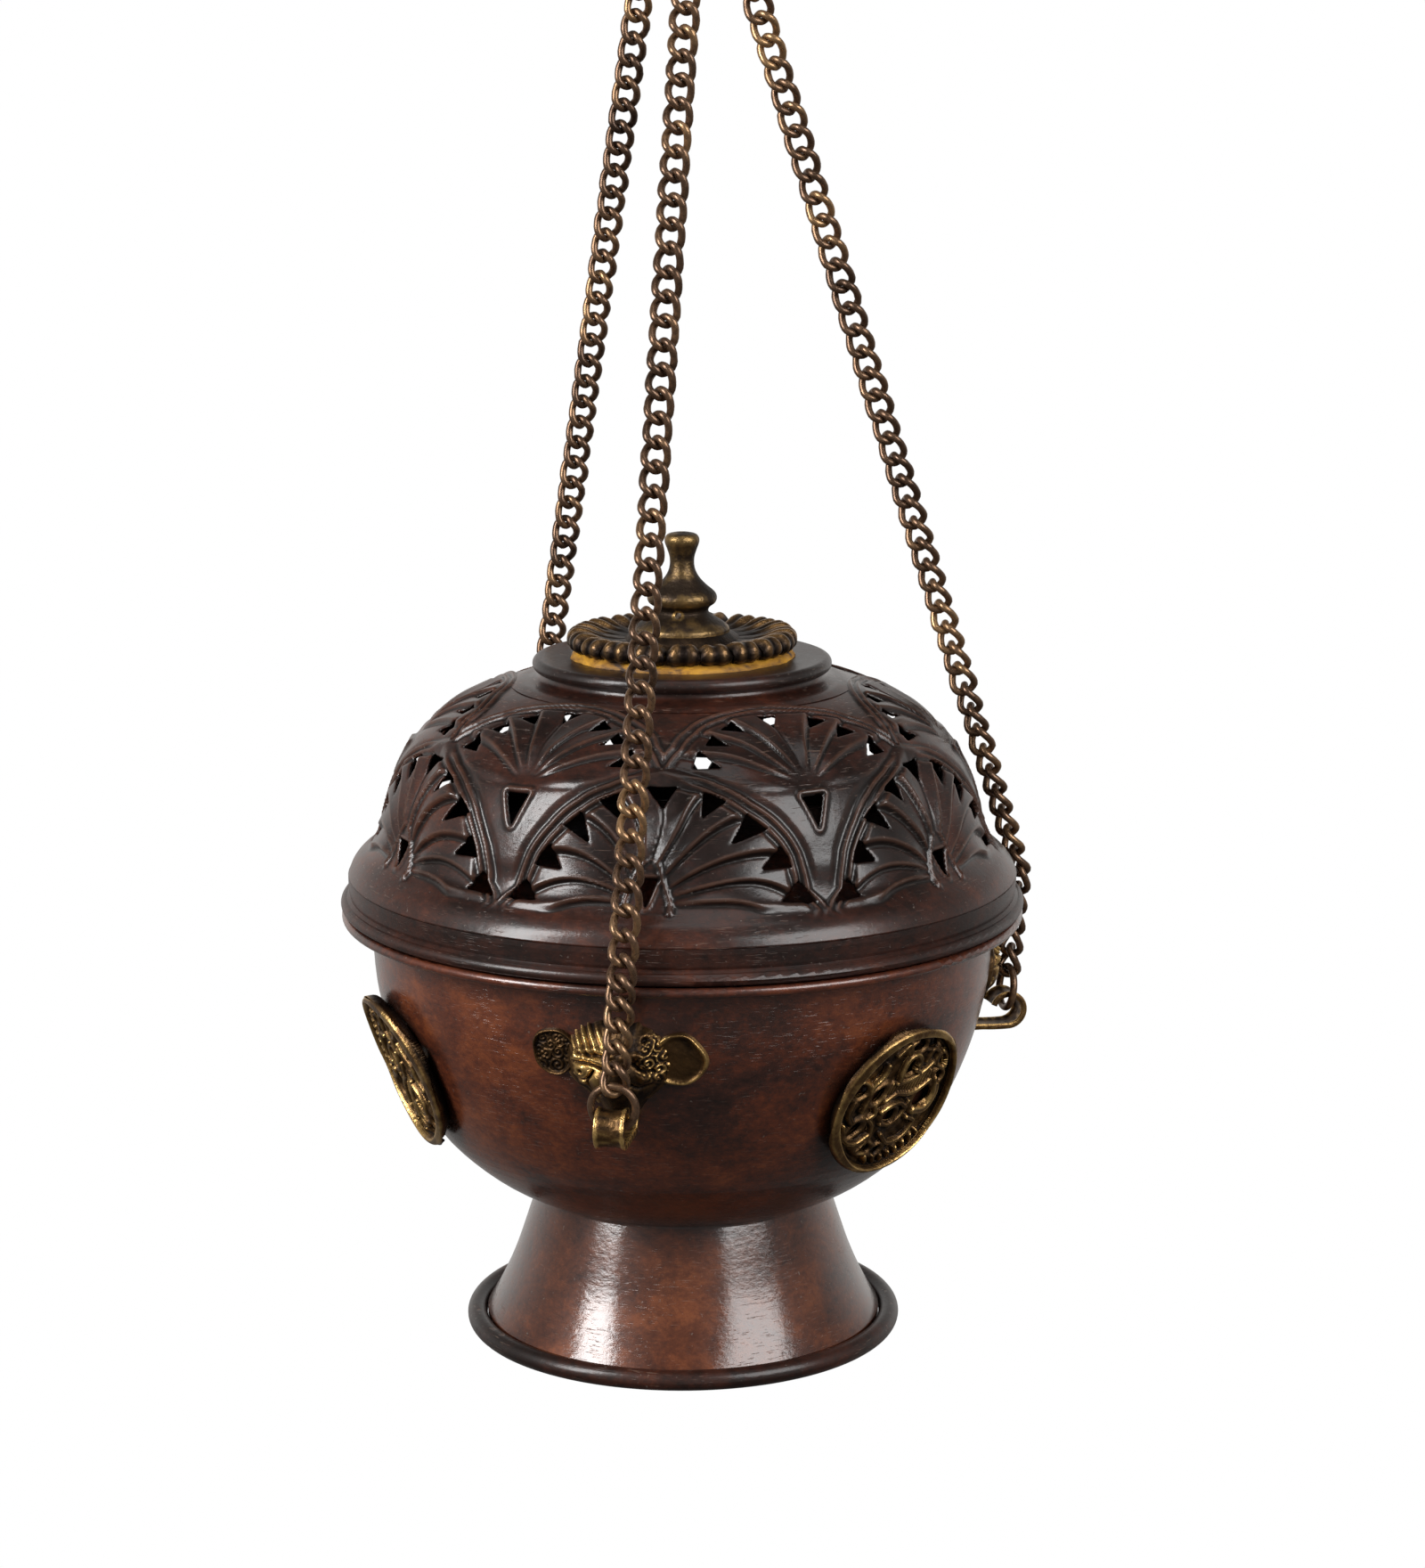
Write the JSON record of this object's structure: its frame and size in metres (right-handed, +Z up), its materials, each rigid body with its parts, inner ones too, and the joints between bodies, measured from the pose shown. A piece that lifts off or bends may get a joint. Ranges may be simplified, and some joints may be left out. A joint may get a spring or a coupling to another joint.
{
  "type": "hanging thurible censer",
  "caption": "Hanging incense burner: footed bowl with beast-mask lugs, pierced domed lid that rises inside its chains, lift-out fire pan and a swivel hook.",
  "frame": {"origin": "middle of the hook's throat, where the bar that the censer hangs on runs", "axes": "+Z up, -Y towards the front mask, +X to the right"},
  "size_m": [0.1728, 0.1755, 0.4504],
  "materials": {
    "copper": "patinated copper sheet, half polished",
    "dark_copper": "dark patinated copper sheet, polished on the high spots",
    "old_brass": "cast brass, worn bright on the high spots and dark in the hollows",
    "chain_bronze": "tarnished wire",
    "dark_bronze": "tarnished wire and turned metal",
    "sooted_copper": "sooty copper sheet",
    "ochre_bed": "dull ochre bedding compound"
  },
  "bodies": {
    "hook": {"hanging_hook": "dark_bronze"},
    "swivel": {"swivel_stirrup": "dark_bronze"},
    "gather": {"gather_ring": "dark_bronze"},
    "bowl": {"bowl": "copper", "bowl_lip": "copper", "foot": "copper", "foot_edge": "copper", "pan_ledges": "copper", "mask_front": "old_brass", "mask_right": "old_brass", "mask_rear": "old_brass", "mask_rivets": "old_brass", "strap_eye_front": "old_brass", "strap_eye_right": "old_brass", "strap_eye_rear": "old_brass", "medallion_right": "old_brass", "medallion_rear": "old_brass", "medallion_left": "old_brass", "medallion_rivets": "old_brass"},
    "lid": {"lid_dome": "dark_copper", "lid_rim": "dark_copper", "lid_collar": "dark_copper", "rosette_bed": "ochre_bed", "rosette": "old_brass", "finial": "old_brass", "finial_stud": "old_brass", "finial_nut": "old_brass"},
    "pan": {"fire_pan": "sooted_copper", "pan_bail": "sooted_copper"},
    "upper_front": {"chain_upper_front": "chain_bronze"},
    "upper_right": {"chain_upper_right": "chain_bronze"},
    "upper_rear": {"chain_upper_rear": "chain_bronze"},
    "lower_front": {"chain_lower_front": "chain_bronze", "lug_ring_front": "chain_bronze"},
    "lower_right": {"chain_lower_right": "chain_bronze", "lug_ring_right": "chain_bronze"},
    "lower_rear": {"chain_lower_rear": "chain_bronze", "lug_ring_rear": "chain_bronze"}
  },
  "joints": [
    {"name": "hook_swivel", "type": "hinge", "parent": "hook", "child": "swivel", "pos_m": [0, 0, -0.026], "axis": [0, 0, 1], "continuous": true},
    {"name": "censer_swing", "type": "hinge", "parent": "swivel", "child": "gather", "pos_m": [0, 0, -0.0405], "axis": [0.766, 0.6428, 0], "range_deg": [-30, 30]},
    {"name": "lid_lift", "type": "slide", "parent": "bowl", "child": "lid", "axis": [0, 0, 1], "range_m": [0, 0.02]},
    {"name": "bowl_rise", "type": "slide", "parent": "gather", "child": "bowl", "axis": [0, 0, 1], "range_m": [0, 0.00404]},
    {"name": "pan_lift", "type": "slide", "parent": "bowl", "child": "pan", "axis": [0, 0, 1], "range_m": [0, 0.05]},
    {"name": "upper_spread_front", "type": "hinge", "parent": "gather", "child": "upper_front", "pos_m": [0.00485, -0.00578, -0.05675], "axis": [-0.9772, 0.2121, 0], "range_deg": [0, 1.55]},
    {"name": "upper_spread_right", "type": "hinge", "parent": "gather", "child": "upper_right", "pos_m": [0.00135, -0.00161, -0.05955], "axis": [0.3049, -0.9524, 0], "range_deg": [0, 1.52]},
    {"name": "upper_spread_rear", "type": "hinge", "parent": "gather", "child": "upper_rear", "pos_m": [-0.00231, 0.00276, -0.05914], "axis": [0.8828, 0.4698, 0], "range_deg": [0, 1.54]},
    {"name": "lower_spread_front", "type": "hinge", "parent": "bowl", "child": "lower_front", "pos_m": [-0.01542, -0.08318, -0.3628], "axis": [0.9833, -0.1822, 0], "range_deg": [0, 12.05]},
    {"name": "lower_spread_right", "type": "hinge", "parent": "bowl", "child": "lower_right", "pos_m": [0.08172, 0.0219, -0.3628], "axis": [-0.2588, 0.9659, 0], "range_deg": [0, 11.71]},
    {"name": "lower_spread_rear", "type": "hinge", "parent": "bowl", "child": "lower_rear", "pos_m": [-0.0423, 0.07327, -0.3628], "axis": [-0.866, -0.5, 0], "range_deg": [0, 11.9]}
  ],
  "couplings": [
    {"joint": "bowl_rise", "follows": "lid_lift", "ratio": 0.19809},
    {"joint": "upper_spread_front", "follows": "lid_lift", "rad_per_m": 1.3244},
    {"joint": "upper_spread_right", "follows": "lid_lift", "rad_per_m": 1.3017},
    {"joint": "upper_spread_rear", "follows": "lid_lift", "rad_per_m": 1.3196},
    {"joint": "lower_spread_front", "follows": "lid_lift", "rad_per_m": 10.314},
    {"joint": "lower_spread_right", "follows": "lid_lift", "rad_per_m": 10.017},
    {"joint": "lower_spread_rear", "follows": "lid_lift", "rad_per_m": 10.18}
  ]
}
